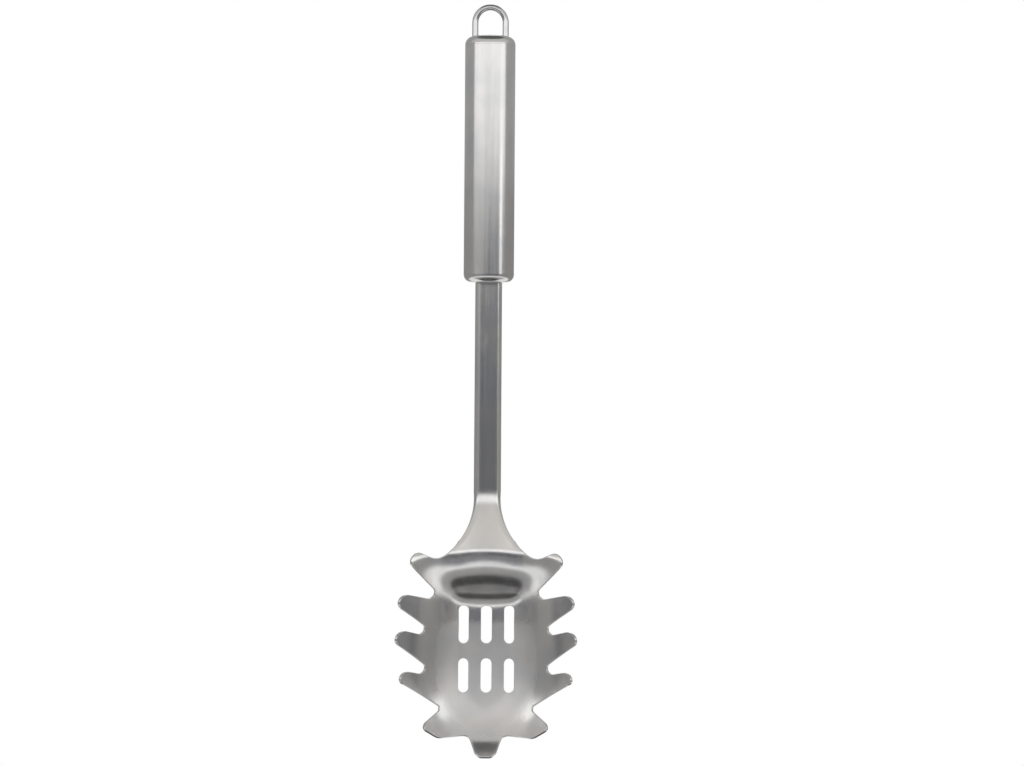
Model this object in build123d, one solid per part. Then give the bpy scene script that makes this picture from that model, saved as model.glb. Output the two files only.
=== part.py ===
from build123d import *
from build123d.topology import SkipClean
from math import acos, atan2, cos, hypot, pi, radians, sin, sqrt, tan
import os

# A pasta server in stainless steel. One pressed blade makes the toothed bowl, the neck and the channel
# shaft. The shaft is welded into a round hollow handle with two pressed end caps and a wire hanging loop.
# The origin is the inside crown of the loop, where a hook holds it. +Z runs up the handle, the hollow
# side of the bowl faces -Y, and the object hangs with its handle axis on the Z axis.

# Hanging loop of bent wire
wire_diameter = 2.6
loop_opening_width = 10.2
loop_rise = 10.3
loop_leg_inside = 4.0

# Handle tube and its two end caps
handle_length = 105.0
handle_diameter = 21.2
tube_wall = 0.6
cap_wall = 0.8
upper_cap_height = 4.6
upper_shoulder_radius = 3.6
cap_crown_height = 0.7
lower_cap_height = 5.2
lower_shoulder_radius = 3.4

# Blade: one sheet, pressed
sheet_thickness = 1.2
shaft_width = 11.6
shaft_length = 87.7
tang_length = 14.0
channel_depth = 3.1
channel_bend_radius = 1.9
channel_bend_angle = 65.0

# Neck: it flares, leans forward, and its lower end is crowned with lifted sides
neck_length = 27.3
neck_flare_radius = 28.0
neck_flare_start = 2.5
neck_lean_angle = 18.0
neck_bend_height = 2.0
neck_bend_blend = 4.0
shoulder_crown_slope = 0.2
shoulder_crown_width = 8.0
shoulder_lift_slope = 0.7
shoulder_lift_across = 15.0
shoulder_lift_blend = 5.0

# Bowl: a rim that is oval in front and squarer at the neck, a floor that climbs towards the front tooth,
# and a wall between them
bowl_half_width = 26.7
bowl_half_length = 36.8
bowl_centre_below_neck = 66.8
rim_power_at_neck = 4.0
rim_rise_at_side = 7.0
rim_rise_at_neck = 2.2
rim_drop_at_front = 1.5
wall_slope = 0.75
tooth_curl_per_mm = 0.09
floor_drop = 4.5
floor_climb_start_above_centre = 13.9
floor_climb_radius = 170.0
floor_cross_radius = 118.0
floor_blend = 3.5

# Crest: the rounding between the neck and the bowl's wall
crest_blend = 10.0

# Teeth: the head measured flat on, from the valley beside the first tooth to the front tooth's tip
head_half_width = 38.45
head_length = 84.05

# Slots in the floor: two rows of three
slot_width = 4.65
slot_pitch = 9.85
upper_slot_length = 16.2
lower_slot_length = 14.4
upper_slot_below_neck = 55.8
slot_row_pitch = 21.7
slots_in_row = 3

# Welds inside the handle
shaft_weld_size = 1.6
loop_weld_size = 1.2

# Fits
shaft_slot_clearance = 0.2
wire_hole_clearance = 0.1
cap_spigot_length = 3.0
cap_spigot_clearance = 0.1

# Working values for the surfaces and cuts
patch_half_width = 40.5
patch_margin = 0.6
patch_below_head = 2.0
patch_blend = 6.0
edge_lines = (-0.6, -0.3, 0.0, 0.3, 0.6, 0.9, 1.2, 1.5, 1.8, 2.1, 2.5, 3.0)
inner_line_count = 12
row_step = 2.2
shaft_row_step = 12.0
slope_step = 0.02
cut_overrun = 40.0
side_overrun = 0.3
flare_limit_angle = 60.0

# The teeth and the gaps between them as circles, from the neck to the front tooth. Each row holds the
# centre across as a share of head_half_width, the centre down as a share of head_length, and the radius
# as a share of head_half_width. A tooth's circle lies in the sheet and a gap's circle outside it.
tooth_circle_shares = [
    ("gap", 0.560, -0.091, 0.200),
    ("tooth", 0.750, 0.018, 0.086),
    ("gap", 0.648, 0.171, 0.067),
    ("tooth", 0.878, 0.220, 0.090),
    ("gap", 0.749, 0.353, 0.058),
    ("tooth", 0.910, 0.400, 0.088),
    ("gap", 0.745, 0.550, 0.060),
    ("tooth", 0.880, 0.596, 0.071),
    ("gap", 0.566, 0.757, 0.042),
    ("tooth", 0.632, 0.838, 0.057),
    ("tooth", 0.478, 0.822, 0.170),
    ("gap", 0.248, 0.934, 0.086),
    ("tooth", 0.036, 0.954, 0.096),
]

# Heights
handle_top = -loop_rise
handle_bottom = handle_top - handle_length
neck_top = handle_bottom - shaft_length
head_top = neck_top - neck_length
blade_top = handle_bottom + tang_length

# The channel's profile: a flat web with both edges bent back, centred on the handle axis
web_front = channel_depth / 2
bend_reach = channel_bend_radius * sin(radians(channel_bend_angle))
bend_depth = channel_bend_radius * (1 - cos(radians(channel_bend_angle)))
edge_growth = sheet_thickness / 2 * sin(radians(channel_bend_angle))
edge_height = sheet_thickness / 2 * (1 + cos(radians(channel_bend_angle)))
flank_depth = channel_depth - edge_height - bend_depth
flank_reach = flank_depth / tan(radians(channel_bend_angle))
roll_width = bend_reach + flank_reach
sheet_half_width = shaft_width / 2 - edge_growth
cut_depth = sheet_thickness / 2 + side_overrun
cut_half_width = sheet_half_width - cut_depth * sin(radians(channel_bend_angle))

# Handle radii and the loop's bend
handle_radius = handle_diameter / 2
wire_radius = wire_diameter / 2
loop_bend_radius = loop_opening_width / 2 + wire_radius
loop_bend_centre = wire_radius - loop_bend_radius
loop_leg_end = handle_top - loop_leg_inside
spigot_radius = handle_radius - tube_wall - cap_spigot_clearance
spigot_inner_radius = spigot_radius - cap_wall
upper_cap_seat = handle_top - upper_cap_height
lower_cap_seat = handle_bottom + lower_cap_height


def round_down(a, b, blend):
    """The smaller of two heights, with the corner between them rounded."""
    near = max(blend - abs(a - b), 0)
    return min(a, b) - near * near / (4 * blend)


def round_up(a, b, blend):
    """The larger of two heights, with the corner between them rounded."""
    return -round_down(-a, -b, blend)


def flare(below_neck):
    """How far the neck's edge has moved out from the shaft's edge, and its slope."""
    steepest = radians(flare_limit_angle)
    reach = neck_flare_radius * sin(steepest)
    down = below_neck - neck_flare_start
    if down <= 0:
        return 0, 0
    if down < reach:
        inner = sqrt(neck_flare_radius**2 - down**2)
        return neck_flare_radius - inner, down / inner
    return neck_flare_radius * (1 - cos(steepest)) + (down - reach) * tan(steepest), tan(steepest)


def edge_roll(inwards, below_neck):
    """How far the sheet's edge is bent back, at a distance in from that edge."""
    past = roll_width - inwards
    if past <= 0:
        return 0
    if past < bend_reach:
        back = channel_bend_radius - sqrt(channel_bend_radius**2 - past**2)
    else:
        back = bend_depth + (past - bend_reach) * tan(radians(channel_bend_angle))
    return back * (1 - fade(below_neck / neck_length))


def fade(share):
    """A smooth step from 0 to 1."""
    held = min(max(share, 0), 1)
    return held * held * (3 - 2 * held)


def rim_distance(across, below_neck):
    """Distance outside the bowl's rim, negative inside it."""
    down = below_neck - bowl_centre_below_neck
    power = rim_power_at_neck if down < 0 else 2
    wide = abs(across) / bowl_half_width
    long = abs(down) / bowl_half_length
    level = (wide**power + long**power) ** (1 / power)
    if level == 0:
        return -bowl_half_width
    steepness = hypot(wide ** (power - 1) / bowl_half_width, long ** (power - 1) / bowl_half_length)
    return max((level - 1) * level ** (power - 1) / steepness, -bowl_half_width)


def shoulder(across, below_neck):
    """Forward height of the neck and the first teeth."""
    climb = round_up(0, below_neck - neck_bend_height, neck_bend_blend) * tan(radians(neck_lean_angle))
    crown = hypot(shoulder_crown_width, across) - shoulder_crown_width
    lift = shoulder_lift_slope * round_up(0, abs(across) - shoulder_lift_across, shoulder_lift_blend)
    return climb + lift - shoulder_crown_slope * fade(below_neck / neck_length) * crown


def bowl(across, below_neck):
    """Forward height of the bowl's floor, wall and teeth."""
    down = below_neck - bowl_centre_below_neck
    outside = rim_distance(across, below_neck)
    rise = rim_rise_at_neck if down < 0 else -rim_drop_at_front
    wall = rim_rise_at_side + rise * (down / bowl_half_length) ** 2 + wall_slope * outside
    wall += tooth_curl_per_mm / 2 * max(outside, 0) ** 2
    climbing = max(down + floor_climb_start_above_centre, 0)
    floor = climbing**2 / (2 * floor_climb_radius) + across**2 / (2 * floor_cross_radius) - floor_drop
    return round_up(floor, wall, floor_blend)


def sheet_height(across, below_neck):
    """Forward height of the middle of the sheet, measured from the handle axis."""
    half_width, slope = flare(below_neck)
    inwards = (sheet_half_width + half_width - abs(across)) / hypot(1, slope)
    pressed = round_down(shoulder(across, below_neck), bowl(across, below_neck), crest_blend)
    return web_front - sheet_thickness / 2 + pressed - edge_roll(inwards, below_neck)


def row_places(below_neck):
    """Places across one row of the sheet, closer together where its edge is bent."""
    half_width, slope = flare(below_neck)
    edge = sheet_half_width + half_width
    widest = round_down(edge, patch_half_width - patch_margin, patch_blend)
    stretch = hypot(1, slope) if widest == edge else hypot(1, slope) * (widest / edge) ** 2
    outer = [widest - line * min(stretch, 2) for line in edge_lines]
    inner = outer[-1]
    middle = [inner * (2 * i / inner_line_count - 1) for i in range(1, inner_line_count)]
    return [-place for place in outer] + middle + outer[::-1]


def sheet_point(across, below_neck, behind):
    """A point at a distance behind the middle of the sheet, negative in front of it."""
    height = sheet_height(across, below_neck)
    left, right = (sheet_height(across + step, below_neck) for step in (-slope_step, slope_step))
    above, below = (sheet_height(across, below_neck + step) for step in (-slope_step, slope_step))
    tilt_across = (right - left) / (2 * slope_step)
    tilt_down = (below - above) / (2 * slope_step)
    shift = behind / sqrt(1 + tilt_across**2 + tilt_down**2)
    x = across + tilt_across * shift
    z = neck_top - below_neck - tilt_down * shift
    return x, shift - height, z


def sheet_rows(behind):
    """Curves across the sheet at a distance behind its middle, from the tang to past the front tooth."""
    bottom = neck_length + head_length + patch_below_head
    places = [neck_top - blade_top - patch_margin]
    while places[-1] < -shaft_row_step * 3 / 2:
        places.append(places[-1] + shaft_row_step)
    start = places[-1]
    step_count = round((bottom - start) / row_step)
    places += [start + (bottom - start) * (i + 1) / step_count for i in range(step_count)]
    rows = []
    for below_neck in places:
        points = [sheet_point(across, below_neck, behind) for across in row_places(below_neck)]
        shares = [i / (len(points) - 1) for i in range(len(points))]
        rows.append(Edge.make_spline(points, parameters=shares))
    return rows


def tangent_ends(first, second):
    """Ends of the line that touches two circles. A circle is its centre and a radius, negative in a gap."""
    run = second[0] - first[0]
    rise = second[1] - first[1]
    turn = atan2(rise, run) + acos((first[2] - second[2]) / hypot(run, rise))
    return [(x + r * cos(turn), z + r * sin(turn)) for x, z, r in (first, second)]


def outline_circles():
    """The circles of one side's outline, from the neck's flare to the front tooth."""
    flare_top = neck_top - neck_flare_start
    circles = [(cut_half_width + neck_flare_radius, flare_top, -neck_flare_radius)]
    for kind, across_share, down_share, radius_share in tooth_circle_shares:
        radius = radius_share * head_half_width
        x = across_share * head_half_width
        z = head_top - down_share * head_length
        circles.append((x, z, radius if kind == "tooth" else -radius))
    x, z, radius = circles[-1]
    return circles + [(-x, z, radius)]


def half_outline():
    """Lines and arcs down one side of the blade, from the tang to the front tooth's tip."""
    circles = outline_circles()
    enter = (cut_half_width, circles[0][1])
    edges = [Edge.make_line((cut_half_width, 0, blade_top), (enter[0], 0, enter[1]))]
    for circle, following in zip(circles, circles[1:]):
        leave, arrive = tangent_ends(circle, following)
        x, z, radius = circle
        toward_x = (enter[0] + leave[0]) / 2 - x
        toward_z = (enter[1] + leave[1]) / 2 - z
        stretch = abs(radius) / hypot(toward_x, toward_z)
        middle = (x + toward_x * stretch, 0, z + toward_z * stretch)
        edges.append(Edge.make_three_point_arc((enter[0], 0, enter[1]), middle, (leave[0], 0, leave[1])))
        end = (0, leave[1]) if following is circles[-1] else arrive
        edges.append(Edge.make_line((leave[0], 0, leave[1]), (end[0], 0, end[1])))
        enter = arrive
    return edges


def blade_outline():
    """The blade seen flat on, with its slots."""
    right = half_outline()
    left = [edge.mirror(Plane.YZ) for edge in right]
    top = Edge.make_line((-cut_half_width, 0, blade_top), (cut_half_width, 0, blade_top))
    outline = Face(Wire([*right, *left, top]))
    for row, length in enumerate((upper_slot_length, lower_slot_length)):
        z = neck_top - upper_slot_below_neck - row * slot_row_pitch
        for i in range(slots_in_row):
            x = (i - (slots_in_row - 1) / 2) * slot_pitch
            outline -= Plane.XZ * Pos(x, z) * Rot(0, 0, 90) * SlotOverall(length, slot_width)
    return outline.faces()[0]


def make_blade():
    """The pressed sheet. Its cut edges stand square to its faces."""
    prism = extrude(blade_outline(), amount=2 * cut_overrun, dir=(0, 1, 0), both=True)
    behind_sheet = Shell.make_loft([Wire([row]) for row in sheet_rows(cut_depth)]).faces()[0]
    with SkipClean():
        pieces = [face for cut in behind_sheet.intersect(prism) for face in cut.faces()]
    outline_face = max(pieces, key=lambda face: face.area)
    cutter = Solid.thicken(outline_face, 2 * cut_depth, normal_override=(0, -1, 0))
    sections = []
    for front, back in zip(sheet_rows(-sheet_thickness / 2), sheet_rows(sheet_thickness / 2)):
        ends = [Edge.make_line(front @ 1, back @ 1), Edge.make_line(back @ 0, front @ 0)]
        sections.append(Wire([front, ends[0], back, ends[1]]))
    sheet = Solid.make_loft(sections)
    with SkipClean():
        solids = [solid for cut in sheet.intersect(cutter) for solid in cut.solids()]
    return max(solids, key=lambda solid: solid.area)


def dome(radius, height, shoulder_radius, crown_height):
    """A solid of revolution on the Z axis: a straight side, a rounded shoulder and a low crown."""
    straight = height - shoulder_radius - crown_height
    reach = radius - shoulder_radius
    above = height - straight
    crown_radius = (reach**2 + above**2 - shoulder_radius**2) / (2 * crown_height)
    crown_centre = height - crown_radius
    lean = atan2(straight - crown_centre, reach)
    join = (reach + shoulder_radius * cos(lean), straight + shoulder_radius * sin(lean))
    shoulder_middle = (reach + shoulder_radius * cos(lean / 2), straight + shoulder_radius * sin(lean / 2))
    crown_lean = (lean + pi / 2) / 2
    crown_middle = (crown_radius * cos(crown_lean), crown_centre + crown_radius * sin(crown_lean))
    corners = [(0, 0), (radius, 0), (radius, straight)]
    edges = [Edge.make_line(start, end) for start, end in zip(corners, corners[1:])]
    edges.append(Edge.make_three_point_arc(corners[-1], shoulder_middle, join))
    edges.append(Edge.make_three_point_arc(join, crown_middle, (0, height)))
    edges.append(Edge.make_line((0, height), (0, 0)))
    return revolve(Plane.XZ * Face(Wire(edges)), axis=Axis.Z)


def ring(outer_radius, inner_radius, bottom, top):
    """A plain ring on the Z axis between two heights."""
    length = top - bottom
    return Pos(0, 0, (bottom + top) / 2) * (Cylinder(outer_radius, length) - Cylinder(inner_radius, length))


def cap_hollow(height, shoulder_radius):
    """The space under a cap's crown, as a solid."""
    return dome(spigot_inner_radius, height - cap_wall, shoulder_radius - cap_wall, cap_crown_height)


def cap_shell(height, shoulder_radius):
    """A pressed cap that points up from Z zero, with a spigot below it that fits inside the tube."""
    seat = height - shoulder_radius - cap_crown_height
    shell = dome(handle_radius, height, shoulder_radius, cap_crown_height)
    shell -= cap_hollow(height, shoulder_radius)
    return shell + ring(spigot_radius, spigot_inner_radius, -cap_spigot_length, seat / 2)


def wire_places():
    """Where the loop's two legs stand."""
    return [Pos(side * loop_bend_radius, 0, 0) for side in (-1, 1)]


def make_upper_cap():
    """The domed cap with a hole for each leg of the loop."""
    cap = cap_shell(upper_cap_height, upper_shoulder_radius)
    for place in wire_places():
        cap -= place * Cylinder(wire_radius + wire_hole_clearance, cut_overrun)
    return Pos(0, 0, upper_cap_seat) * cap


def make_loop_weld(place):
    """The weld bead round one leg of the loop, against the inside of the upper cap."""
    top = upper_cap_height - cap_wall
    bottom = top - cap_crown_height - loop_weld_size
    bead = place * ring(wire_radius + loop_weld_size, wire_radius, bottom, top)
    return Pos(0, 0, upper_cap_seat) * (bead & cap_hollow(upper_cap_height, upper_shoulder_radius))


def make_lower_cap():
    """The rounded cap with a slot for the shaft."""
    slot_wide = shaft_width + 2 * shaft_slot_clearance
    slot_deep = channel_depth + 2 * shaft_slot_clearance
    cap = cap_shell(lower_cap_height, lower_shoulder_radius) - Box(slot_wide, slot_deep, cut_overrun)
    return Pos(0, 0, lower_cap_seat) * Rot(180, 0, 0) * cap


def make_shaft_weld():
    """The weld bead round the shaft, against the inside of the lower cap."""
    top = lower_cap_height - cap_wall
    length = cap_crown_height + shaft_weld_size
    outer = Box(shaft_width + 2 * shaft_weld_size, channel_depth + 2 * shaft_weld_size, length)
    bead = Pos(0, 0, top - length / 2) * (outer - Box(shaft_width, channel_depth, length))
    bead &= cap_hollow(lower_cap_height, lower_shoulder_radius)
    return Pos(0, 0, lower_cap_seat) * Rot(180, 0, 0) * bead


def make_hanging_loop():
    """Wire bent to a half circle with two straight legs that end inside the handle."""
    left, right = -loop_bend_radius, loop_bend_radius
    path = Wire([
        Edge.make_line((left, 0, loop_leg_end), (left, 0, loop_bend_centre)),
        Edge.make_three_point_arc(
            (left, 0, loop_bend_centre), (0, 0, wire_radius), (right, 0, loop_bend_centre)
        ),
        Edge.make_line((right, 0, loop_bend_centre), (right, 0, loop_leg_end)),
    ])
    return sweep(Pos(left, 0, loop_leg_end) * Circle(wire_radius), path=path)


left_leg, right_leg = wire_places()
parts = {
    "blade": make_blade(),
    "handle_tube": ring(handle_radius, handle_radius - tube_wall, lower_cap_seat, upper_cap_seat),
    "lower_cap": make_lower_cap(),
    "upper_cap": make_upper_cap(),
    "hanging_loop": make_hanging_loop(),
    "shaft_weld": make_shaft_weld(),
    "loop_weld_left": make_loop_weld(left_leg),
    "loop_weld_right": make_loop_weld(right_leg),
}
os.makedirs("parts", exist_ok=True)
for name, part in parts.items():
    export_step(part, f"parts/{name}.step")
    box = part.bounding_box()
    print(name, part.is_valid, round(part.volume, 1), box.min, box.max)
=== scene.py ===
import bpy
import numpy as np
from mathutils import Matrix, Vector


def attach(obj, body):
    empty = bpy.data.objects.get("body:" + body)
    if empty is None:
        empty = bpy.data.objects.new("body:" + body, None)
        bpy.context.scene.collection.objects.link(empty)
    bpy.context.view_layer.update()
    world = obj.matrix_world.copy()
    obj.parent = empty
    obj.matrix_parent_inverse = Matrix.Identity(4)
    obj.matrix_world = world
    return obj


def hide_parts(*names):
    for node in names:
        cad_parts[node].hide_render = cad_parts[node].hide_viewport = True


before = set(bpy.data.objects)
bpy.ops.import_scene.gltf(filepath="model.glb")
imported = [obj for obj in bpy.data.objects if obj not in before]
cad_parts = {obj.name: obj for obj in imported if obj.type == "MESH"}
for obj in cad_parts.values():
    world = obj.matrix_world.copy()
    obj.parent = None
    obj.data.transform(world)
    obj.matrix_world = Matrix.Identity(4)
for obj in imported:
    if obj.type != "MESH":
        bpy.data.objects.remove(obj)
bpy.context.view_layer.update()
print("frame loaded")

mm = 0.001
tiny = 1e-15  # stands in for a zero that something is divided by

# heights along the server in millimetres, down from the inside of the hanging loop
levels = {
    "handleTop": -10.3,
    "bladeTop": -101.3,
    "handleBottom": -115.3,
    "neckTop": -203.0,
}


# the smaller of two heights, with the corner between them rounded by a parabola
def roundDown(a, b, blend):
    near = np.maximum(blend - np.abs(a - b), 0)
    return np.minimum(a, b) - near * near / (4 * blend)


# the larger of two heights, rounded the same way
def roundUp(a, b, blend):
    return -roundDown(-a, -b, blend)


# a smooth step from 0 to 1: three times the share's square less twice its cube
def smoothStep(share):
    held = np.clip(share, 0, 1)
    return held * held * (3 - 2 * held)


# Turns each four-cornered face so that the cross product of its diagonals looks the way its points'
# normals do. Points that no face uses are left out, and a point that a face names twice, as at a pole,
# is named once.
def finishSurface(points, normals, faces):
    a, b, c, d = (points[faces[:, k]] for k in range(4))
    facing = np.einsum("ij,ij->i", np.cross(c - a, d - b), normals[faces].sum(axis=1))
    faces = np.where(facing[:, None] < 0, faces[:, ::-1], faces)
    used, numbers = np.unique(faces, return_inverse=True)
    faces = numbers.reshape(-1, 4)
    repeats = (faces == np.roll(faces, -1, axis=1)).any(axis=1)
    threeCornered = [list(dict.fromkeys(face)) for face in faces[repeats].tolist()]
    normals = normals[used] / np.linalg.norm(normals[used], axis=1)[:, None]
    return points[used], faces[~repeats].tolist() + threeCornered, normals


# puts a surface's points, faces and normals into a mesh, and says what it rides on and replaces
def makePiece(name, surface, material, node):
    points, faces, normals = surface
    mesh = bpy.data.meshes.new(name)
    mesh.from_pydata((points * mm).tolist(), [], faces)
    mesh.polygons.foreach_set("use_smooth", np.ones(len(mesh.polygons), bool))
    mesh.normals_split_custom_set_from_vertices(normals.tolist())
    piece = bpy.data.objects.new(name, mesh)
    bpy.context.collection.objects.link(piece)
    mesh.materials.append(material)
    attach(piece, "root")
    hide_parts(node)
    print(name, len(points), "points", len(faces), "faces")


# How the edge of a cut sheet is made
sheetEdge = {
    "roundSteps": 4,  # faces round each quarter of the edge
    "slopeStep": 0.03,  # how far apart two points are that give a slope
    "nearestShare": 0.04,  # how near a crossing may come to a grid point
    "leastSteepness": 0.3,
}


# Where the grid's lines cross the sheet's edge: the share along a line at which a straight run between
# the distances at its two ends is zero. Gives the crossings' u and v, and the crossing's number for
# every line along u and along v.
def edgeCrossings(u, v, inside):
    kept = inside < 0
    cutU, cutV, numbers = [], [], []
    count = 0
    for first, second in ((np.s_[:-1, :], np.s_[1:, :]), (np.s_[:, :-1], np.s_[:, 1:])):
        changes = kept[first] != kept[second]
        where = np.nonzero(changes)
        a, b = inside[first][where], inside[second][where]
        share = np.clip(a / (a - b), sheetEdge["nearestShare"], 1 - sheetEdge["nearestShare"])
        cutU.append(u[first][where] * (1 - share) + u[second][where] * share)
        cutV.append(v[first][where] * (1 - share) + v[second][where] * share)
        number = np.full(changes.shape, -1)
        number[where] = np.arange(count, count + len(share))
        numbers.append(number)
        count += len(share)
    return np.concatenate(cutU), np.concatenate(cutV), numbers


# The direction out of the sheet at its edge, and how fast the distance grows that way: the distance's
# slopes along u and v, turned into one direction in the surface by the lengths of its u and v steps and
# the angle between them.
def outOfSheet(middle, distance, u, v):
    step = sheetEdge["slopeStep"]
    alongU = (middle(u + step, v)[0] - middle(u - step, v)[0]) / (2 * step)
    alongV = (middle(u, v + step)[0] - middle(u, v - step)[0]) / (2 * step)
    slopeU = (distance(u + step, v) - distance(u - step, v)) / (2 * step)
    slopeV = (distance(u, v + step) - distance(u, v - step)) / (2 * step)
    pairs = ((alongU, alongU), (alongU, alongV), (alongV, alongV))
    uu, uv, vv = (np.einsum("ij,ij->i", p, q) for p, q in pairs)
    spread = uu * vv - uv * uv
    weightU = (vv * slopeU - uv * slopeV) / spread
    weightV = (uu * slopeV - uv * slopeU) / spread
    out = weightU[:, None] * alongU + weightV[:, None] * alongV
    steepness = np.linalg.norm(out, axis=1)[:, None]
    return out / steepness, steepness


# The faces of one side and the stretches of cut edge. The corners of a cell that are kept make one of
# sixteen cases. A case has a ring of kept corners and crossings, which is one face or a fan, and from
# the crossing where the ring leaves the sheet to the next one runs a stretch of edge. Crossings are
# numbered on from the grid's points.
def sheetCells(kept, ids, crossings):
    corners = (np.s_[:-1, :-1], np.s_[1:, :-1], np.s_[1:, 1:], np.s_[:-1, 1:])
    code = sum(kept[corner].astype(int) << k for k, corner in enumerate(corners))
    alongU, alongV = (number + kept.size for number in crossings)
    sides = (alongU[:, :-1], alongV[1:, :], alongU[:, 1:], alongV[:-1, :])
    faces, edges = [], []
    for case in range(1, 16):
        cells = np.nonzero(code == case)
        ring, leaving = [], []
        for k in range(4):
            here, after = case >> k & 1, case >> (k + 1) % 4 & 1
            if here:
                ring.append(ids[corners[k]][cells])
            if here and not after:
                leaving.append(len(ring))
            if here != after:
                ring.append(sides[k][cells])
        for k in leaving:
            edges.append(np.stack([ring[k], ring[(k + 1) % len(ring)]], axis=1))
        if case == 15:
            faces.append(np.stack(ring, axis=1))
            continue
        for k in range(1, len(ring) - 1):
            faces.append(np.stack([ring[0], ring[k], ring[k + 1], ring[k + 1]], axis=1))
    return np.vstack(faces), np.vstack(edges)


# A sheet with rounded edges. middle(u, v) gives its middle surface and its front normals on a grid of
# two parameters, and distance(u, v) is negative where there is sheet. The grid is cut where the distance
# reaches minus the edge's rounding, and the cut edge is carried round from the front face to the back
# face by two quarter ellipses. ids numbers the grid's points, so that seams and poles share theirs.
def cutSheet(u, v, ids, middle, distance, thickness, edgeRound):
    inside = distance(u, v) + edgeRound
    cutU, cutV, crossings = edgeCrossings(u, v, inside)
    flatPoints, flatNormals = (field.reshape(-1, 3) for field in middle(u, v))
    cutPoints, cutNormals = middle(cutU, cutV)
    out, steepness = outOfSheet(middle, distance, cutU, cutV)
    reach = edgeRound / np.maximum(steepness, sheetEdge["leastSteepness"])

    # all the points: front grid, back grid, then the rows round the cut edge from front to back
    half = thickness / 2
    quarter = np.linspace(0, np.pi / 2, sheetEdge["roundSteps"] + 1)
    rows = [(1, angle) for angle in quarter] + [(-1, angle) for angle in quarter[::-1]]
    points = [flatPoints + flatNormals * half, flatPoints - flatNormals * half]
    normals = [flatNormals, -flatNormals]
    for side, angle in rows:
        lift = side * (half - edgeRound * (1 - np.cos(angle)))
        points.append(cutPoints + cutNormals * lift + out * reach * np.sin(angle))
        normals.append(cutNormals * side * np.cos(angle) + out * np.sin(angle))

    grid, count, steps = u.size, len(cutU), len(rows) - 1
    cells, edges = sheetCells(inside < 0, ids, crossings)
    front = np.where(cells < grid, cells, cells + grid)
    back = np.where(cells < grid, cells + grid, cells + grid + steps * count)
    faces = [front, back]
    for row in range(steps):
        a, b = edges.T + grid + row * count
        faces.append(np.stack([a, b, b + count, a + count], axis=1))
    return finishSurface(np.vstack(points), np.vstack(normals), np.vstack(faces))


# Blade: one pressed sheet, in millimetres and degrees. Places down it are measured from the neck's top.
blade = {
    "thickness": 1.2,
    "edgeRound": 0.34,
    "cutDepth": 0.9,  # how far behind the middle of the sheet the outline is measured
    "shaftWidth": 11.6,
    "channelDepth": 3.1,
    "bendRadius": 1.9,
    "bendAngle": 65.0,
    "neckLength": 27.3,
    "flareRadius": 28.0,
    "flareStart": 2.5,
    "flareLimit": 60.0,  # how far round the flare is a circle before it goes on straight
    "leanAngle": 18.0,  # the neck's lean forward
    "neckBendHeight": 2.0,
    "neckBendBlend": 4.0,
    "crownSlope": 0.2,  # how far the neck falls away to its sides
    "crownWidth": 8.0,
    "liftSlope": 0.7,  # how far the first teeth are lifted
    "liftAcross": 15.0,
    "liftBlend": 5.0,
    "bowlHalfWidth": 26.7,
    "bowlHalfLength": 36.8,
    "bowlCentre": 66.8,
    "rimPower": 4.0,  # the oval's power towards the neck: 2 is an ellipse, more is squarer
    "rimRiseSide": 7.0,
    "rimRiseNeck": 2.2,
    "rimRiseFront": -1.5,
    "rimPowerFront": 2,
    "wallSlope": 0.75,
    "toothCurl": 0.09,  # how fast the wall steepens outside the rim, for a millimetre
    "floorDrop": 4.5,
    "floorClimbStart": 13.9,
    "floorClimbRadius": 170.0,
    "floorCrossRadius": 118.0,
    "floorBlend": 3.5,
    "crestBlend": 10.0,
    "headHalfWidth": 38.45,
    "headLength": 84.05,
    "slotWidth": 4.65,
    "slotPitch": 9.85,
    "slotColumns": (-1, 0, 1),
    "slotLengths": (16.2, 14.4),
    "slotBelow": 55.8,
    "slotRowPitch": 21.7,
}

# Teeth and gaps as circles, down one side from the neck to the front tooth: the centre across, the
# centre down and the radius, as shares of the head's half width, its length and its half width
toothShares = [
    ("gap", 0.560, -0.091, 0.200),
    ("tooth", 0.750, 0.018, 0.086),
    ("gap", 0.648, 0.171, 0.067),
    ("tooth", 0.878, 0.220, 0.090),
    ("gap", 0.749, 0.353, 0.058),
    ("tooth", 0.910, 0.400, 0.088),
    ("gap", 0.745, 0.550, 0.060),
    ("tooth", 0.880, 0.596, 0.071),
    ("gap", 0.566, 0.757, 0.042),
    ("tooth", 0.632, 0.838, 0.057),
    ("tooth", 0.478, 0.822, 0.170),
    ("gap", 0.248, 0.934, 0.086),
    ("tooth", 0.036, 0.954, 0.096),
]

# How finely the blade is made, with its grid's lines in millimetres
bladeFineness = {
    "webHalf": 2.2,  # the flat part of the channel
    "webLines": 5,
    "rollStep": 0.2,  # the bent edges
    "rollMargin": 0.6,
    "step": 0.45,  # the head
    "firstStep": 0.3,
    "shaftStep": 2.5,
    "shaftEnd": -3.0,
    "pastTop": 1.0,
    "pastSides": 1.6,
    "pastFront": 1.2,
    "slopeStep": 0.02,  # how far apart two heights are that give a slope
    "centreLevel": 1e-3,  # below this the place counts as the bowl's very centre
    "arcPoints": 40,  # for each circle of the outline
    "pointsAtOnce": 4000,
}

bendSin = np.sin(np.radians(blade["bendAngle"]))
bendCos = np.cos(np.radians(blade["bendAngle"]))
bendTan = bendSin / bendCos
bendReach = blade["bendRadius"] * bendSin
bendDepth = blade["bendRadius"] * (1 - bendCos)
edgeGrowth = blade["thickness"] / 2 * bendSin
flankDepth = blade["channelDepth"] - blade["thickness"] / 2 * (1 + bendCos) - bendDepth
rollWidth = bendReach + flankDepth / bendTan
sheetHalfWidth = blade["shaftWidth"] / 2 - edgeGrowth
cutHalfWidth = sheetHalfWidth - blade["cutDepth"] * bendSin


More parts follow.
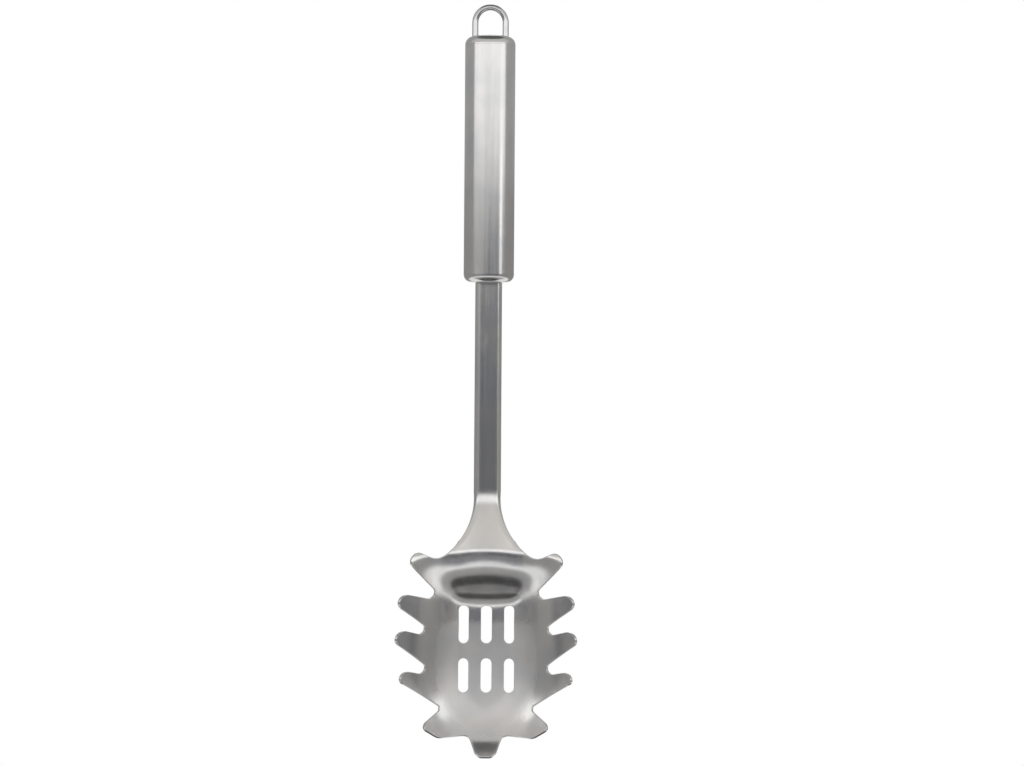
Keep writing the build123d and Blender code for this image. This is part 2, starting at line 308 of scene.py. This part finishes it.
# how far the neck's edge has moved out and its slope: a circle's arc, then its tangent
def flare(below):
    steep = np.radians(blade["flareLimit"])
    radius = blade["flareRadius"]
    reach = radius * np.sin(steep)
    down = below - blade["flareStart"]
    held = np.clip(down, 0, reach)
    inner = np.sqrt(radius**2 - held**2)
    past = np.maximum(down - reach, 0)
    return radius - inner + past * np.tan(steep), held / inner


# how far the edge is bent back: an arc, then a straight flank, fading out down the neck
def edgeRoll(inwards, below):
    past = np.maximum(rollWidth - inwards, 0)
    held = np.minimum(past, bendReach)
    arc = blade["bendRadius"] - np.sqrt(blade["bendRadius"] ** 2 - held**2)
    flank = np.maximum(past - bendReach, 0) * bendTan
    return (arc + flank) * (1 - smoothStep(below / blade["neckLength"]))


# forward height of the neck and the first teeth: a straight lean below a rounded bend, less a crown that
# is a hyperbola across, plus a straight lift at both sides
def shoulderHeight(across, below):
    lean = np.tan(np.radians(blade["leanAngle"]))
    climb = roundUp(0 * below, below - blade["neckBendHeight"], blade["neckBendBlend"]) * lean
    crown = np.hypot(blade["crownWidth"], across) - blade["crownWidth"]
    crownSlope = blade["crownSlope"] * smoothStep(below / blade["neckLength"])
    past = roundUp(0 * across, np.abs(across) - blade["liftAcross"], blade["liftBlend"])
    return climb + blade["liftSlope"] * past - crownSlope * crown


# Forward height of the bowl: a floor that curves both ways, and a wall that rises with the distance
# outside an oval rim. That distance is how far the oval's own level is over 1, divided by how steeply
# the level grows.
def bowlHeight(across, below):
    down = below - blade["bowlCentre"]
    a, b = blade["bowlHalfWidth"], blade["bowlHalfLength"]
    power = np.where(down < 0, blade["rimPower"], blade["rimPowerFront"])
    level = (np.abs(across / a) ** power + np.abs(down / b) ** power) ** (1 / power)
    steep = np.hypot(np.abs(across / a) ** (power - 1) / a, np.abs(down / b) ** (power - 1) / b)
    outside = (level - 1) * level ** (power - 1) / np.maximum(steep, tiny)
    # right at the centre both parts of that share vanish, and it is held at the half width inside
    outside = np.where(level < bladeFineness["centreLevel"], -a, np.maximum(outside, -a))
    rise = np.where(down < 0, blade["rimRiseNeck"], blade["rimRiseFront"]) * (down / b) ** 2
    curl = blade["toothCurl"] / 2 * np.maximum(outside, 0) ** 2
    wall = blade["rimRiseSide"] + rise + blade["wallSlope"] * outside + curl
    climbing = np.maximum(down + blade["floorClimbStart"], 0)
    floor = climbing**2 / (2 * blade["floorClimbRadius"]) + across**2 / (2 * blade["floorCrossRadius"])
    return roundUp(floor - blade["floorDrop"], wall, blade["floorBlend"])


# forward height of the middle of the sheet from the handle's axis: the lower of neck and bowl, rounded
# where they meet in the crest, with the neck's edges bent back
def sheetHeight(across, below):
    moved, slope = flare(below)
    inwards = (sheetHalfWidth + moved - np.abs(across)) / np.hypot(1, slope)
    pressed = roundDown(shoulderHeight(across, below), bowlHeight(across, below), blade["crestBlend"])
    return blade["channelDepth"] / 2 - blade["thickness"] / 2 + pressed - edgeRoll(inwards, below)


# the middle surface and its front normal, from the height and its slopes
def bladeMiddle(across, below):
    step = bladeFineness["slopeStep"]
    height = sheetHeight(across, below)
    slopeX = (sheetHeight(across + step, below) - sheetHeight(across - step, below)) / (2 * step)
    slopeB = (sheetHeight(across, below + step) - sheetHeight(across, below - step)) / (2 * step)
    points = np.stack([across, -height, levels["neckTop"] - below], axis=-1)
    normals = np.stack([-slopeX, -np.ones_like(slopeX), slopeB], axis=-1)
    return points, normals / np.linalg.norm(normals, axis=-1)[..., None]


# One side of the outline: an arc round each circle, from where the last line touched it to where the
# line that touches it and the next circle leaves it. A gap's radius is negative, which puts the line on
# its other side.
def bladeOutline():
    flareTop = levels["neckTop"] - blade["flareStart"]
    headTop = levels["neckTop"] - blade["neckLength"]
    circles = [(cutHalfWidth + blade["flareRadius"], flareTop, -blade["flareRadius"])]
    for kind, across, down, radius in toothShares:
        size = radius * blade["headHalfWidth"] * (1 if kind == "tooth" else -1)
        circles.append((across * blade["headHalfWidth"], headTop - down * blade["headLength"], size))
    x, z, r = circles[-1]
    circles.append((-x, z, r))
    line = [np.array([[cutHalfWidth, levels["bladeTop"]]])]
    enter = (cutHalfWidth, levels["neckTop"])
    for (x, z, r), (nextX, nextZ, nextR) in zip(circles, circles[1:]):
        span = np.hypot(nextX - x, nextZ - z)
        touch = np.arctan2(nextZ - z, nextX - x) + np.arccos((r - nextR) / span)
        leave = (x + r * np.cos(touch), z + r * np.sin(touch))
        start = np.arctan2(enter[1] - z, enter[0] - x)
        turn = np.arctan2(leave[1] - z, leave[0] - x) - start
        turn = (turn + np.pi) % (2 * np.pi) - np.pi
        angles = start + turn * np.linspace(0, 1, bladeFineness["arcPoints"])
        line.append(np.stack([x + abs(r) * np.cos(angles), z + abs(r) * np.sin(angles)], axis=1))
        enter = (nextX + nextR * np.cos(touch), nextZ + nextR * np.sin(touch))
    line.append(np.array([[0, line[-1][-1][1]]]))
    return np.vstack(line)


outline = bladeOutline()


# distance outside the outline: to the nearest point of its nearest straight stretch, and negative where
# a level line outwards crosses the outline an odd number of times
def outlineDistance(x, z):
    distance = np.empty(len(x))
    starts, runs = outline[:-1], np.diff(outline, axis=0)
    squares = np.maximum((runs**2).sum(axis=1), tiny)
    rises = np.where(np.abs(runs[:, 1]) < tiny, tiny, runs[:, 1])
    for part in np.array_split(np.arange(len(x)), max(len(x) // bladeFineness["pointsAtOnce"], 1)):
        dx, dz = x[part, None] - starts[:, 0], z[part, None] - starts[:, 1]
        share = np.clip((dx * runs[:, 0] + dz * runs[:, 1]) / squares, 0, 1)
        near = np.sqrt(((dx - share * runs[:, 0]) ** 2 + (dz - share * runs[:, 1]) ** 2).min(axis=1))
        level = (starts[:, 1] > z[part, None]) != (outline[1:, 1] > z[part, None])
        meets = starts[:, 0] + dz / rises * runs[:, 0] > x[part, None]
        odd = (level & meets).sum(axis=1) % 2 == 1
        distance[part] = np.where(odd, -near, near)
    return distance


# distance outside the blade, seen flat on just behind its back face: the largest of the distances outside
# the outline, above the top and into a slot
def bladeDistance(across, below):
    points, normals = bladeMiddle(across, below)
    back = points - normals * blade["cutDepth"]
    x, z = back[..., 0], back[..., 2]
    distance = outlineDistance(np.abs(x).ravel(), z.ravel()).reshape(x.shape)
    distance = np.maximum(distance, z - levels["bladeTop"])
    for row, length in enumerate(blade["slotLengths"]):
        centre = levels["neckTop"] - blade["slotBelow"] - row * blade["slotRowPitch"]
        rise = np.maximum(np.abs(z - centre) - (length - blade["slotWidth"]) / 2, 0)
        for column in blade["slotColumns"]:
            slot = np.hypot(x - column * blade["slotPitch"], rise) - blade["slotWidth"] / 2
            distance = np.maximum(distance, -slot)
    return distance


# the blade's grid lines: close together at the channel's bent edges, far apart along the straight shaft
def bladeGrid():
    fineness = bladeFineness
    web = np.linspace(0, fineness["webHalf"], fineness["webLines"], endpoint=False)
    bent = blade["shaftWidth"] / 2 + fineness["rollMargin"]
    roll = np.arange(fineness["webHalf"], bent, fineness["rollStep"])
    side = blade["headHalfWidth"] + fineness["pastSides"]
    outer = np.arange(roll[-1] + fineness["firstStep"], side, fineness["step"])
    half = np.concatenate([web, roll, outer])
    top = levels["neckTop"] - levels["bladeTop"] - fineness["pastTop"]
    bottom = blade["neckLength"] + blade["headLength"] + fineness["pastFront"]
    shaft = np.arange(top, fineness["shaftEnd"], fineness["shaftStep"])
    head = np.arange(fineness["shaftEnd"], bottom, fineness["step"])
    across = np.concatenate([-half[:0:-1], half])
    return np.meshgrid(across, np.concatenate([shaft, head]), indexing="ij")


# the pressed surface, cut along its outline and slots
def buildBlade():
    across, below = bladeGrid()
    ids = np.arange(across.size).reshape(across.shape)
    sheet = blade["thickness"], blade["edgeRound"]
    return cutSheet(across, below, ids, bladeMiddle, bladeDistance, *sheet)


# Handle: tube and two caps, in millimetres
handle = {
    "diameter": 21.2,
    "tubeWall": 0.6,
    "capWall": 0.8,
    "upperCapHeight": 4.6,
    "upperShoulder": 3.6,
    "lowerCapHeight": 5.2,
    "lowerShoulder": 3.4,
    "crown": 0.7,
    "slotClearance": 0.3,
    "holeClearance": 0.1,
    "seamRound": 0.05,
    "turns": 180,
    "profileSteps": 90,
    "pastRim": 0.2,
    "cornerSteps": 4,
}

lowerSeat = levels["handleBottom"] + handle["lowerCapHeight"]
upperSeat = levels["handleTop"] - handle["upperCapHeight"]


# a cap's outside, against the distance from its crown: a crown arc, a shoulder arc and a straight side
def capProfile(height, shoulder, along):
    radius, crown = handle["diameter"] / 2, handle["crown"]
    straight = height - shoulder - crown
    reach, above = radius - shoulder, height - straight
    crownRadius = (reach**2 + above**2 - shoulder**2) / (2 * crown)
    lean = np.arctan2(straight - height + crownRadius, reach)
    crownLength = crownRadius * (np.pi / 2 - lean)
    shoulderEnd = crownLength + shoulder * lean
    onCrown, onShoulder = along < crownLength, along < shoulderEnd
    tilt = np.where(onShoulder, lean - (along - crownLength) / shoulder, 0)
    tilt = np.where(onCrown, np.pi / 2 - along / crownRadius, tilt)
    cos, sin = np.cos(tilt), np.sin(tilt)
    r = np.where(onCrown, crownRadius * cos, np.where(onShoulder, reach + shoulder * cos, radius))
    z = np.where(onShoulder, straight + shoulder * sin, straight - (along - shoulderEnd))
    z = np.where(onCrown, height - crownRadius + crownRadius * sin, z)
    return r, z, tilt, shoulderEnd + straight


# a cap turned about the handle's axis: u is the turn in steps and v the distance along its profile.
# holes gives the distance outside what is cut through it.
def buildCap(height, shoulder, seat, upwards, holes):
    total = capProfile(height, shoulder, np.zeros(1))[3]
    turns = handle["turns"]

    def middle(u, v):
        r, z, tilt, _ = capProfile(height, shoulder, np.maximum(v, 0))
        turn = u * 2 * np.pi / turns
        cos, sin = np.cos(turn), np.sin(turn)
        normals = np.stack([np.cos(tilt) * cos, np.cos(tilt) * sin, upwards * np.sin(tilt)], axis=-1)
        outer = np.stack([r * cos, r * sin, seat + upwards * z], axis=-1)
        return outer - normals * handle["capWall"] / 2, normals

    def distance(u, v):
        points = middle(u, v)[0]
        return np.maximum(v - total, -holes(points[..., 0], points[..., 1]))

    along = np.append(np.linspace(0, total, handle["profileSteps"]), total + handle["pastRim"])
    u, v = np.meshgrid(np.arange(turns + 1.0), along, indexing="ij")
    ids = np.arange(u.size).reshape(u.shape)
    ids[-1] = ids[0]
    ids[:, 0] = ids[0, 0]
    return cutSheet(u, v, ids, middle, distance, handle["capWall"], handle["seamRound"])


# distance outside the two round holes for the loop's legs
def wireHoles(x, y):
    legX = loop["opening"] / 2 + loop["wire"] / 2
    return np.hypot(np.abs(x) - legX, y) - loop["wire"] / 2 - handle["holeClearance"]


# distance outside the slot for the shaft, a rectangle
def shaftSlot(x, y):
    halfX = blade["shaftWidth"] / 2 + handle["slotClearance"]
    halfY = blade["channelDepth"] / 2 + handle["slotClearance"]
    return np.maximum(np.abs(x) - halfX, np.abs(y) - halfY)


# the tube's wall: a ring section whose corners are quarter circles, turned about the handle's axis
def buildTube():
    outer, bottom, top = handle["diameter"] / 2, lowerSeat, upperSeat
    inner, rounding = outer - handle["tubeWall"], handle["seamRound"]
    profile = []
    for r, z, start in ((outer, top, 0), (inner, top, 90), (inner, bottom, 180), (outer, bottom, 270)):
        signR, signZ = (1 if r == outer else -1), (1 if z == top else -1)
        for angle in np.radians(start + np.linspace(0, 90, handle["cornerSteps"] + 1)):
            cos, sin = np.cos(angle), np.sin(angle)
            profile.append((r + (cos - signR) * rounding, z + (sin - signZ) * rounding, cos, sin))
    radius, height, outR, outZ = np.array(profile).T
    turn = np.arange(handle["turns"]) * 2 * np.pi / handle["turns"]
    cos, sin, flat = np.cos(turn)[:, None], np.sin(turn)[:, None], np.ones((len(turn), 1))
    points = np.stack([radius * cos, radius * sin, height * flat], axis=-1).reshape(-1, 3)
    normals = np.stack([outR * cos, outR * sin, outZ * flat], axis=-1).reshape(-1, 3)
    ids = np.arange(len(points)).reshape(len(turn), -1)
    after, beside = np.roll(ids, -1, axis=0), np.roll(ids, -1, axis=1)
    both = np.roll(after, -1, axis=1)
    faces = np.stack([ids.ravel(), after.ravel(), both.ravel(), beside.ravel()], axis=1)
    return finishSurface(points, normals, faces)


# Hanging loop of bent wire, in millimetres
loop = {
    "wire": 2.6,
    "opening": 10.2,
    "legInside": 4.0,
    "endRound": 0.4,
    "roundSteps": 48,
    "bendSteps": 90,
    "legSteps": 12,
    "endSteps": 6,
}


# A round section carried up one leg, over a half circle and down the other leg. At both ends it shrinks
# by a quarter circle to a flat end, and both halves are each other's mirror.
def buildLoop():
    radius, inset = loop["wire"] / 2, loop["endRound"]
    bend = loop["opening"] / 2 + radius
    centre = radius - bend
    leg = centre - levels["handleTop"] + loop["legInside"]
    total = 2 * leg + np.pi * bend

    # places along the wire: their distance, the section's radius and the normal's lean along the wire
    quarter = np.linspace(0, np.pi / 2, loop["endSteps"])
    endAlong = np.append(0, inset * (1 - np.cos(quarter)))
    endSize = np.append(0, radius - inset + inset * np.sin(quarter))
    endLean = np.append(-1, -np.cos(quarter))
    legAlong = np.linspace(inset, leg, loop["legSteps"])[1:-1]
    bendAlong = np.linspace(leg, total - leg, loop["bendSteps"])
    body = np.concatenate([legAlong, bendAlong, total - legAlong[::-1]])
    along = np.concatenate([endAlong, body, total - endAlong[::-1]])
    size = np.concatenate([endSize, np.full(len(body), radius), endSize[::-1]])
    lean = np.concatenate([endLean, np.zeros(len(body)), -endLean[::-1]])

    swing = np.clip((along - leg) / bend, 0, np.pi)
    cos, sin, none = np.cos(swing), np.sin(swing), np.zeros(len(swing))
    height = centre + bend * sin + np.minimum(along - leg, 0) - np.maximum(along - total + leg, 0)
    spine = np.stack([-bend * cos, none, height], axis=1)[:, None]
    tangent = np.stack([sin, none, cos], axis=1)[:, None]
    outwards = np.stack([-cos, none, sin], axis=1)[:, None]
    turn = np.arange(loop["roundSteps"])[None, :, None] * 2 * np.pi / loop["roundSteps"]
    across = outwards * np.cos(turn) + np.array([0, 1, 0]) * np.sin(turn)
    size, lean = size[:, None, None], lean[:, None, None]
    points = (spine + across * size).reshape(-1, 3)
    normals = (across * np.sqrt(1 - lean**2) + tangent * lean).reshape(-1, 3)
    ids = np.arange(len(points)).reshape(len(along), -1)
    ids[0], ids[-1] = ids[0, 0], ids[-1, 0]
    beside = np.roll(ids, -1, axis=1)
    corners = (ids[:-1], beside[:-1], beside[1:], ids[1:])
    return finishSurface(points, normals, np.stack([corner.ravel() for corner in corners], axis=1))


# One output of a shader node. An expression on values adds a Math node for each of its operations.
class Value:
    def __init__(self, shader, socket):
        self.shader, self.socket = shader, socket

    # another output of the same node
    def output(self, key):
        return Value(self.shader, self.socket.node.outputs[key])

    def math(self, operation, first, second):
        return self.shader.add("ShaderNodeMath", {"operation": operation}, {0: first, 1: second})

    def __add__(self, other):
        return self.math("ADD", self, other)

    def __radd__(self, other):
        return self.math("ADD", other, self)

    def __sub__(self, other):
        return self.math("SUBTRACT", self, other)

    def __rsub__(self, other):
        return self.math("SUBTRACT", other, self)

    def __mul__(self, other):
        return self.math("MULTIPLY", self, other)

    def __rmul__(self, other):
        return self.math("MULTIPLY", other, self)

    def __truediv__(self, other):
        return self.math("DIVIDE", self, other)

    def __rtruediv__(self, other):
        return self.math("DIVIDE", other, self)

    def most(self, other):
        return self.math("MAXIMUM", self, other)

    # 0 below low, 1 above high and smooth between them
    def between(self, low, high):
        inputs = {"Value": self, "From Min": low, "From Max": high}
        return self.shader.add("ShaderNodeMapRange", {"interpolation_type": "SMOOTHSTEP"}, inputs)


# the nodes of one material or of the world
class Shader:
    def __init__(self, owner):
        owner.use_nodes = True
        self.owner, self.tree = owner, owner.node_tree
        self.tree.nodes.clear()

    # one node: its type, its settings, then its sockets' values or links
    def add(self, kind, settings=None, inputs=None):
        node = self.tree.nodes.new(kind)
        for key, value in (settings or {}).items():
            setattr(node, key, value)
        for key, value in (inputs or {}).items():
            if isinstance(value, Value):
                self.tree.links.new(value.socket, node.inputs[key])
            else:
                node.inputs[key].default_value = value
        return Value(self, node.outputs[0]) if node.outputs else None

    # noise in cells, of which the fineness says how many fit in a metre each way
    def noise(self, place, fineness, detail, roughness):
        drawnOut = self.add("ShaderNodeMapping", {}, {"Vector": place, "Scale": fineness})
        inputs = {"Vector": drawnOut, "Scale": 1.0, "Detail": detail, "Roughness": roughness}
        return self.add("ShaderNodeTexNoise", {}, inputs)

    # the first colour at share 0, the second at share 1
    def mixed(self, share, first, second):
        return self.add("ShaderNodeMix", {"data_type": "RGBA"}, {0: share, 6: first, 7: second}).output(2)

    # 1 where the camera sees it, straight, mirrored or through something clear, and 0 where it only lights
    def seen(self):
        ray = self.add("ShaderNodeLightPath")
        straightOrMirrored = ray.output("Is Camera Ray").most(ray.output("Is Glossy Ray"))
        return straightOrMirrored.most(ray.output("Is Transmission Ray"))

    # links a surface to the output node and hands back what the nodes belong to
    def finish(self, output, surface):
        self.add(output, {}, {"Surface": surface})
        return self.owner


def rgba(colour):
    return (*colour, 1.0)


# Steel finishes: two tones that clouds mix, roughness, and the depths of grain and waves in millimetres
finishes = {
    "pressedSteel": {
        "tone": (0.80, 0.785, 0.765),
        "dull": (0.70, 0.70, 0.705),
        "rough": 0.16,
        "grainDepth": 0.0035,
        "waveDepth": 0.032,
    },
    "handleSteel": {
        "tone": (0.74, 0.73, 0.72),
        "dull": (0.66, 0.66, 0.665),
        "rough": 0.17,
        "grainDepth": 0.00245,
        "waveDepth": 0.02,
    },
    "wireSteel": {
        "tone": (0.74, 0.74, 0.74),
        "dull": (0.62, 0.62, 0.63),
        "rough": 0.12,
        "grainDepth": 0.00105,
        "waveDepth": 0.008,
    },
    "weldSteel": {
        "tone": (0.45, 0.44, 0.43),
        "dull": (0.22, 0.20, 0.19),
        "rough": 0.45,
        "grainDepth": 0.014,
        "waveDepth": 0.12,
    },
}

# Marks in the steel as noise, in cells to a metre across, through and along the server
marks = {
    "clouds": {"fineness": (55.0, 55.0, 55.0), "detail": 3.0, "roughness": 0.5},
    "waves": {"fineness": (70.0, 70.0, 70.0), "detail": 1.0, "roughness": 0.5},
    "grain": {"fineness": (2600.0, 2600.0, 36.0), "detail": 3.0, "roughness": 0.65},
    "broadLines": {"fineness": (650.0, 650.0, 14.0), "detail": 2.0, "roughness": 0.5},
    "rubbing": {"fineness": (240.0, 240.0, 60.0), "detail": 4.0, "roughness": 0.7},
}

# What the marks do: the levels they are cut between, and what they add to the roughness and the grain
markUse = {
    "cloudLevels": (0.35, 0.7),
    "streakLevels": (0.35, 0.65),
    "rubbingLevels": (0.58, 0.75),
    "cloudRough": 0.03,
    "streakRough": 0.03,
    "rubbingRough": 0.05,
    "broadShare": 0.6,
}

# Brushed patch on the bowl's floor, in millimetres: an oval, as far as it lies below a level line
brushedPatch = {
    "halfWidth": 21.0,
    "halfLength": 31.0,
    "belowCentre": 3.0,
    "ovalLevels": (0.8, 1.2),
    "topLevels": (-260.0, -255.5),
    "elsewhere": 0.1,
    "rough": 0.40,
}


# how much the steel is brushed: 1 where the oval's sum of squares is small and the place is below the
# level line, fading to the little that is left everywhere else
def bowlBrushing(shader, place):
    x = shader.add("ShaderNodeSeparateXYZ", {}, {0: place})
    z = x.output(2)
    centre = levels["neckTop"] - blade["bowlCentre"] - brushedPatch["belowCentre"]
    across = x / (brushedPatch["halfWidth"] * mm)
    down = (z - centre * mm) / (brushedPatch["halfLength"] * mm)
    low, high = brushedPatch["topLevels"]
    oval = 1 - (across * across + down * down).between(*brushedPatch["ovalLevels"])
    below = 1 - z.between(low * mm, high * mm)
    return brushedPatch["elsewhere"] + (1 - brushedPatch["elsewhere"]) * oval * below


# Polished steel: clouds mix its tones, streaks, rubbing and clouds add to its roughness, and its normal
# leans with the sum of grain and broad lines, on top of waves. Where it is brushed, the lines are full
# and it is rougher.
def steelMaterial(name, brushing=None):
    finish = finishes[name]
    shader = Shader(bpy.data.materials.new(name))
    place = shader.add("ShaderNodeTexCoord").output("Object")
    noise = {mark: shader.noise(place, **values) for mark, values in marks.items()}
    tones = rgba(finish["tone"]), rgba(finish["dull"])
    colour = shader.mixed(noise["clouds"].between(*markUse["cloudLevels"]), *tones)
    streaks = markUse["streakRough"] * noise["broadLines"].between(*markUse["streakLevels"])
    rubbing = markUse["rubbingRough"] * noise["rubbing"].between(*markUse["rubbingLevels"])
    roughness = finish["rough"] + streaks + rubbing + markUse["cloudRough"] * noise["clouds"]
    lines = noise["grain"] + noise["broadLines"] * markUse["broadShare"]
    if brushing:
        brushed = brushing(shader, place)
        lines = lines * brushed
        roughness = roughness + brushed * (brushedPatch["rough"] - finish["rough"])
    inputs = {"Height": noise["waves"], "Distance": finish["waveDepth"] * mm}
    waves = shader.add("ShaderNodeBump", {}, inputs)
    inputs = {"Height": lines, "Distance": finish["grainDepth"] * mm, "Normal": waves}
    normal = shader.add("ShaderNodeBump", {}, inputs)
    inputs = {"Base Color": colour, "Metallic": 1.0, "Roughness": roughness, "Normal": normal}
    steel = shader.add("ShaderNodeBsdfPrincipled", {}, inputs)
    return shader.finish("ShaderNodeOutputMaterial", steel)


bladeSteel = steelMaterial("pressedSteel", bowlBrushing)
handleSteel = steelMaterial("handleSteel")
wireSteel = steelMaterial("wireSteel")
weldSteel = steelMaterial("weldSteel")
print("materials made")

upperCap = buildCap(handle["upperCapHeight"], handle["upperShoulder"], upperSeat, 1, wireHoles)
lowerCap = buildCap(handle["lowerCapHeight"], handle["lowerShoulder"], lowerSeat, -1, shaftSlot)
makePiece("server_blade", buildBlade(), bladeSteel, "blade")
makePiece("handle_wall", buildTube(), handleSteel, "handle_tube")
makePiece("handle_upper_end", upperCap, handleSteel, "upper_cap")
makePiece("handle_lower_end", lowerCap, handleSteel, "lower_cap")
makePiece("wire_loop", buildLoop(), wireSteel, "hanging_loop")
for weld in ("shaft_weld", "loop_weld_left", "loop_weld_right"):
    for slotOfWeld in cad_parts[weld].material_slots:
        slotOfWeld.material = weldSteel
print("pieces made")

# Studio: camera, floor and backdrop, in metres, with the lens in millimetres and the roll in degrees
studio = {
    "cameraDistance": 1.4,
    "cameraRoll": -0.4,
    "lens": 116.8,
    "filmWidth": 36.0,
    "aimX": 0.0101,
    "aimZ": -0.1569,
    "floorZ": -1.10,
    "floorHalf": 3.0,
    "floorBack": 0.6,
    "floorTone": (0.9, 0.9, 0.9),
    "backdropTone": (1, 1, 1),
    "backdropLight": 0.6,
    "cardRadius": 0.9,
    "cardColumns": 24,
    "cardRows": 16,
}

camera = bpy.data.objects.new("camera", bpy.data.cameras.new("camera"))
bpy.context.collection.objects.link(camera)
camera.data.lens = studio["lens"]
camera.data.sensor_width = studio["filmWidth"]
camera.location = (studio["aimX"], -studio["cameraDistance"], studio["aimZ"])
camera.rotation_euler = (np.pi / 2, np.radians(studio["cameraRoll"]), 0)
bpy.context.scene.camera = camera
bpy.context.scene.view_settings.view_transform = "Standard"


# one flat colour that shows as written in the camera and in metal, and takes lamp light otherwise
def paperMaterial(name, colour):
    shader = Shader(bpy.data.materials.new(name))
    matte = shader.add("ShaderNodeBsdfDiffuse", {}, {"Color": rgba(colour)})
    glow = shader.add("ShaderNodeEmission", {}, {"Color": rgba(colour), "Strength": 1.0})
    paper = shader.add("ShaderNodeMixShader", {}, {0: shader.seen(), 1: matte, 2: glow})
    return shader.finish("ShaderNodeOutputMaterial", paper)


# a flat or bent patch that belongs to the studio and not to the server
def stagePatch(name, points, faces, material):
    mesh = bpy.data.meshes.new(name)
    mesh.from_pydata(points, [], faces)
    patch = bpy.data.objects.new(name, mesh)
    bpy.context.collection.objects.link(patch)
    mesh.materials.append(material)
    return patch


side, back = studio["floorHalf"], studio["floorBack"]
floorPlan = [(-side, -side), (side, -side), (side, back), (-side, back)]
floorCorners = [(x, y, studio["floorZ"]) for x, y in floorPlan]
stagePatch("floor", floorCorners, [(0, 1, 2, 3)], paperMaterial("floorPaper", studio["floorTone"]))

# the backdrop is white where it is seen, straight or mirrored, and dimmer as light on the floor
backdrop = Shader(bpy.data.worlds.new("studioWorld"))
brightness = studio["backdropLight"] + (1 - studio["backdropLight"]) * backdrop.seen()
inputs = {"Color": rgba(studio["backdropTone"]), "Strength": brightness}
background = backdrop.add("ShaderNodeBackground", {}, inputs)
bpy.context.scene.world = backdrop.finish("ShaderNodeOutputWorld", background)

# Cards round the server: from and to which bearing and which height in degrees, how bright, the tint if
# it isn't white, and the distance in metres if it isn't the usual one. Bearing 0 is the camera's side,
# and bearings grow towards +X.
cards = {
    "roomFront": ((-22, 48), (-9, 9), 0.11, (0.93, 0.97, 1.08)),
    "roomFrontBelow": ((-22, 48), (-31, -9), 0.24, (0.97, 0.98, 1.05)),
    "windowBand": ((-75, 75), (9, 23), 1.25),
    "ceilingFront": ((-100, 100), (23, 60), 0.62, (1, 0.98, 0.95)),
    "tableEdge": ((-75, 75), (-41, -31), 1.1),
    "tableFront": ((-100, 100), (-62, -41), 0.36, (1, 0.99, 0.98)),
    "tableUnder": ((-180, 180), (-90, -62), 0.05),
    "roomAbove": ((-180, 180), (60, 90), 0.12),
    "roomLeft": ((-172, -22), (-30, 9), 0.30, (1, 0.99, 0.98)),
    "roomLeftAbove": ((-172, -75), (9, 60), 0.40),
    "roomRight": ((62, 172), (-30, 9), 0.30, (1, 0.98, 0.95)),
    "roomRightAbove": ((75, 172), (9, 60), 0.40),
    "lampStrip": ((49, 62), (4, 9), 1.6),
    "lampStripBelow": ((48, 62), (-30, 4), 0.34),
    "windowLineLeft": ((-11, -6), (-9, 9), 0.26, (1, 1, 1), 0.88),
    "windowLineRight": ((24, 29), (-9, 9), 0.26, (1, 1, 1), 0.88),
}


# a card of one brightness, part of a sphere round the camera's aim, that shows only in reflections
def addCard(name, bearings, heights, brightness, tint=(1, 1, 1), radius=studio["cardRadius"]):
    rounds = np.radians(np.linspace(*bearings, studio["cardColumns"]))
    rises = np.radians(np.linspace(*heights, studio["cardRows"]))
    bearing, height = np.meshgrid(rounds, rises, indexing="ij")
    x = radius * np.sin(bearing) * np.cos(height)
    y = -radius * np.cos(bearing) * np.cos(height)
    z = radius * np.sin(height) + studio["aimZ"]
    points = np.stack([x, y, z], axis=-1).reshape(-1, 3)
    ids = np.arange(x.size).reshape(x.shape)
    corners = (ids[:-1, :-1], ids[1:, :-1], ids[1:, 1:], ids[:-1, 1:])
    faces = np.stack([corner.ravel() for corner in corners], axis=1)
    shader = Shader(bpy.data.materials.new(name + "Paint"))
    glow = shader.add("ShaderNodeEmission", {}, {"Color": rgba(tint), "Strength": brightness})
    paint = shader.finish("ShaderNodeOutputMaterial", glow)
    card = stagePatch(name, points.tolist(), faces.tolist(), paint)
    card.visible_camera = False
    card.visible_diffuse = False
    card.visible_shadow = False


for name, card in cards.items():
    addCard(name, *card)

# Lamps, in metres and watts, that don't show in the steel
lamps = {
    "keyLamp": {"place": (-0.7, -1.1, 0.9), "size": 0.9, "power": 16},
    "fillLamp": {"place": (0.9, -0.9, 0.5), "size": 0.9, "power": 10},
}
lampAim = (0, 0, -0.2)
for name, lamp in lamps.items():
    data = bpy.data.lights.new(name, "AREA")
    data.size, data.energy = lamp["size"], lamp["power"]
    light = bpy.data.objects.new(name, data)
    bpy.context.collection.objects.link(light)
    light.location = lamp["place"]
    aim = Vector(lampAim) - Vector(lamp["place"])
    light.rotation_euler = aim.to_track_quat("-Z", "Y").to_euler()
    light.visible_glossy = False
print("studio made")
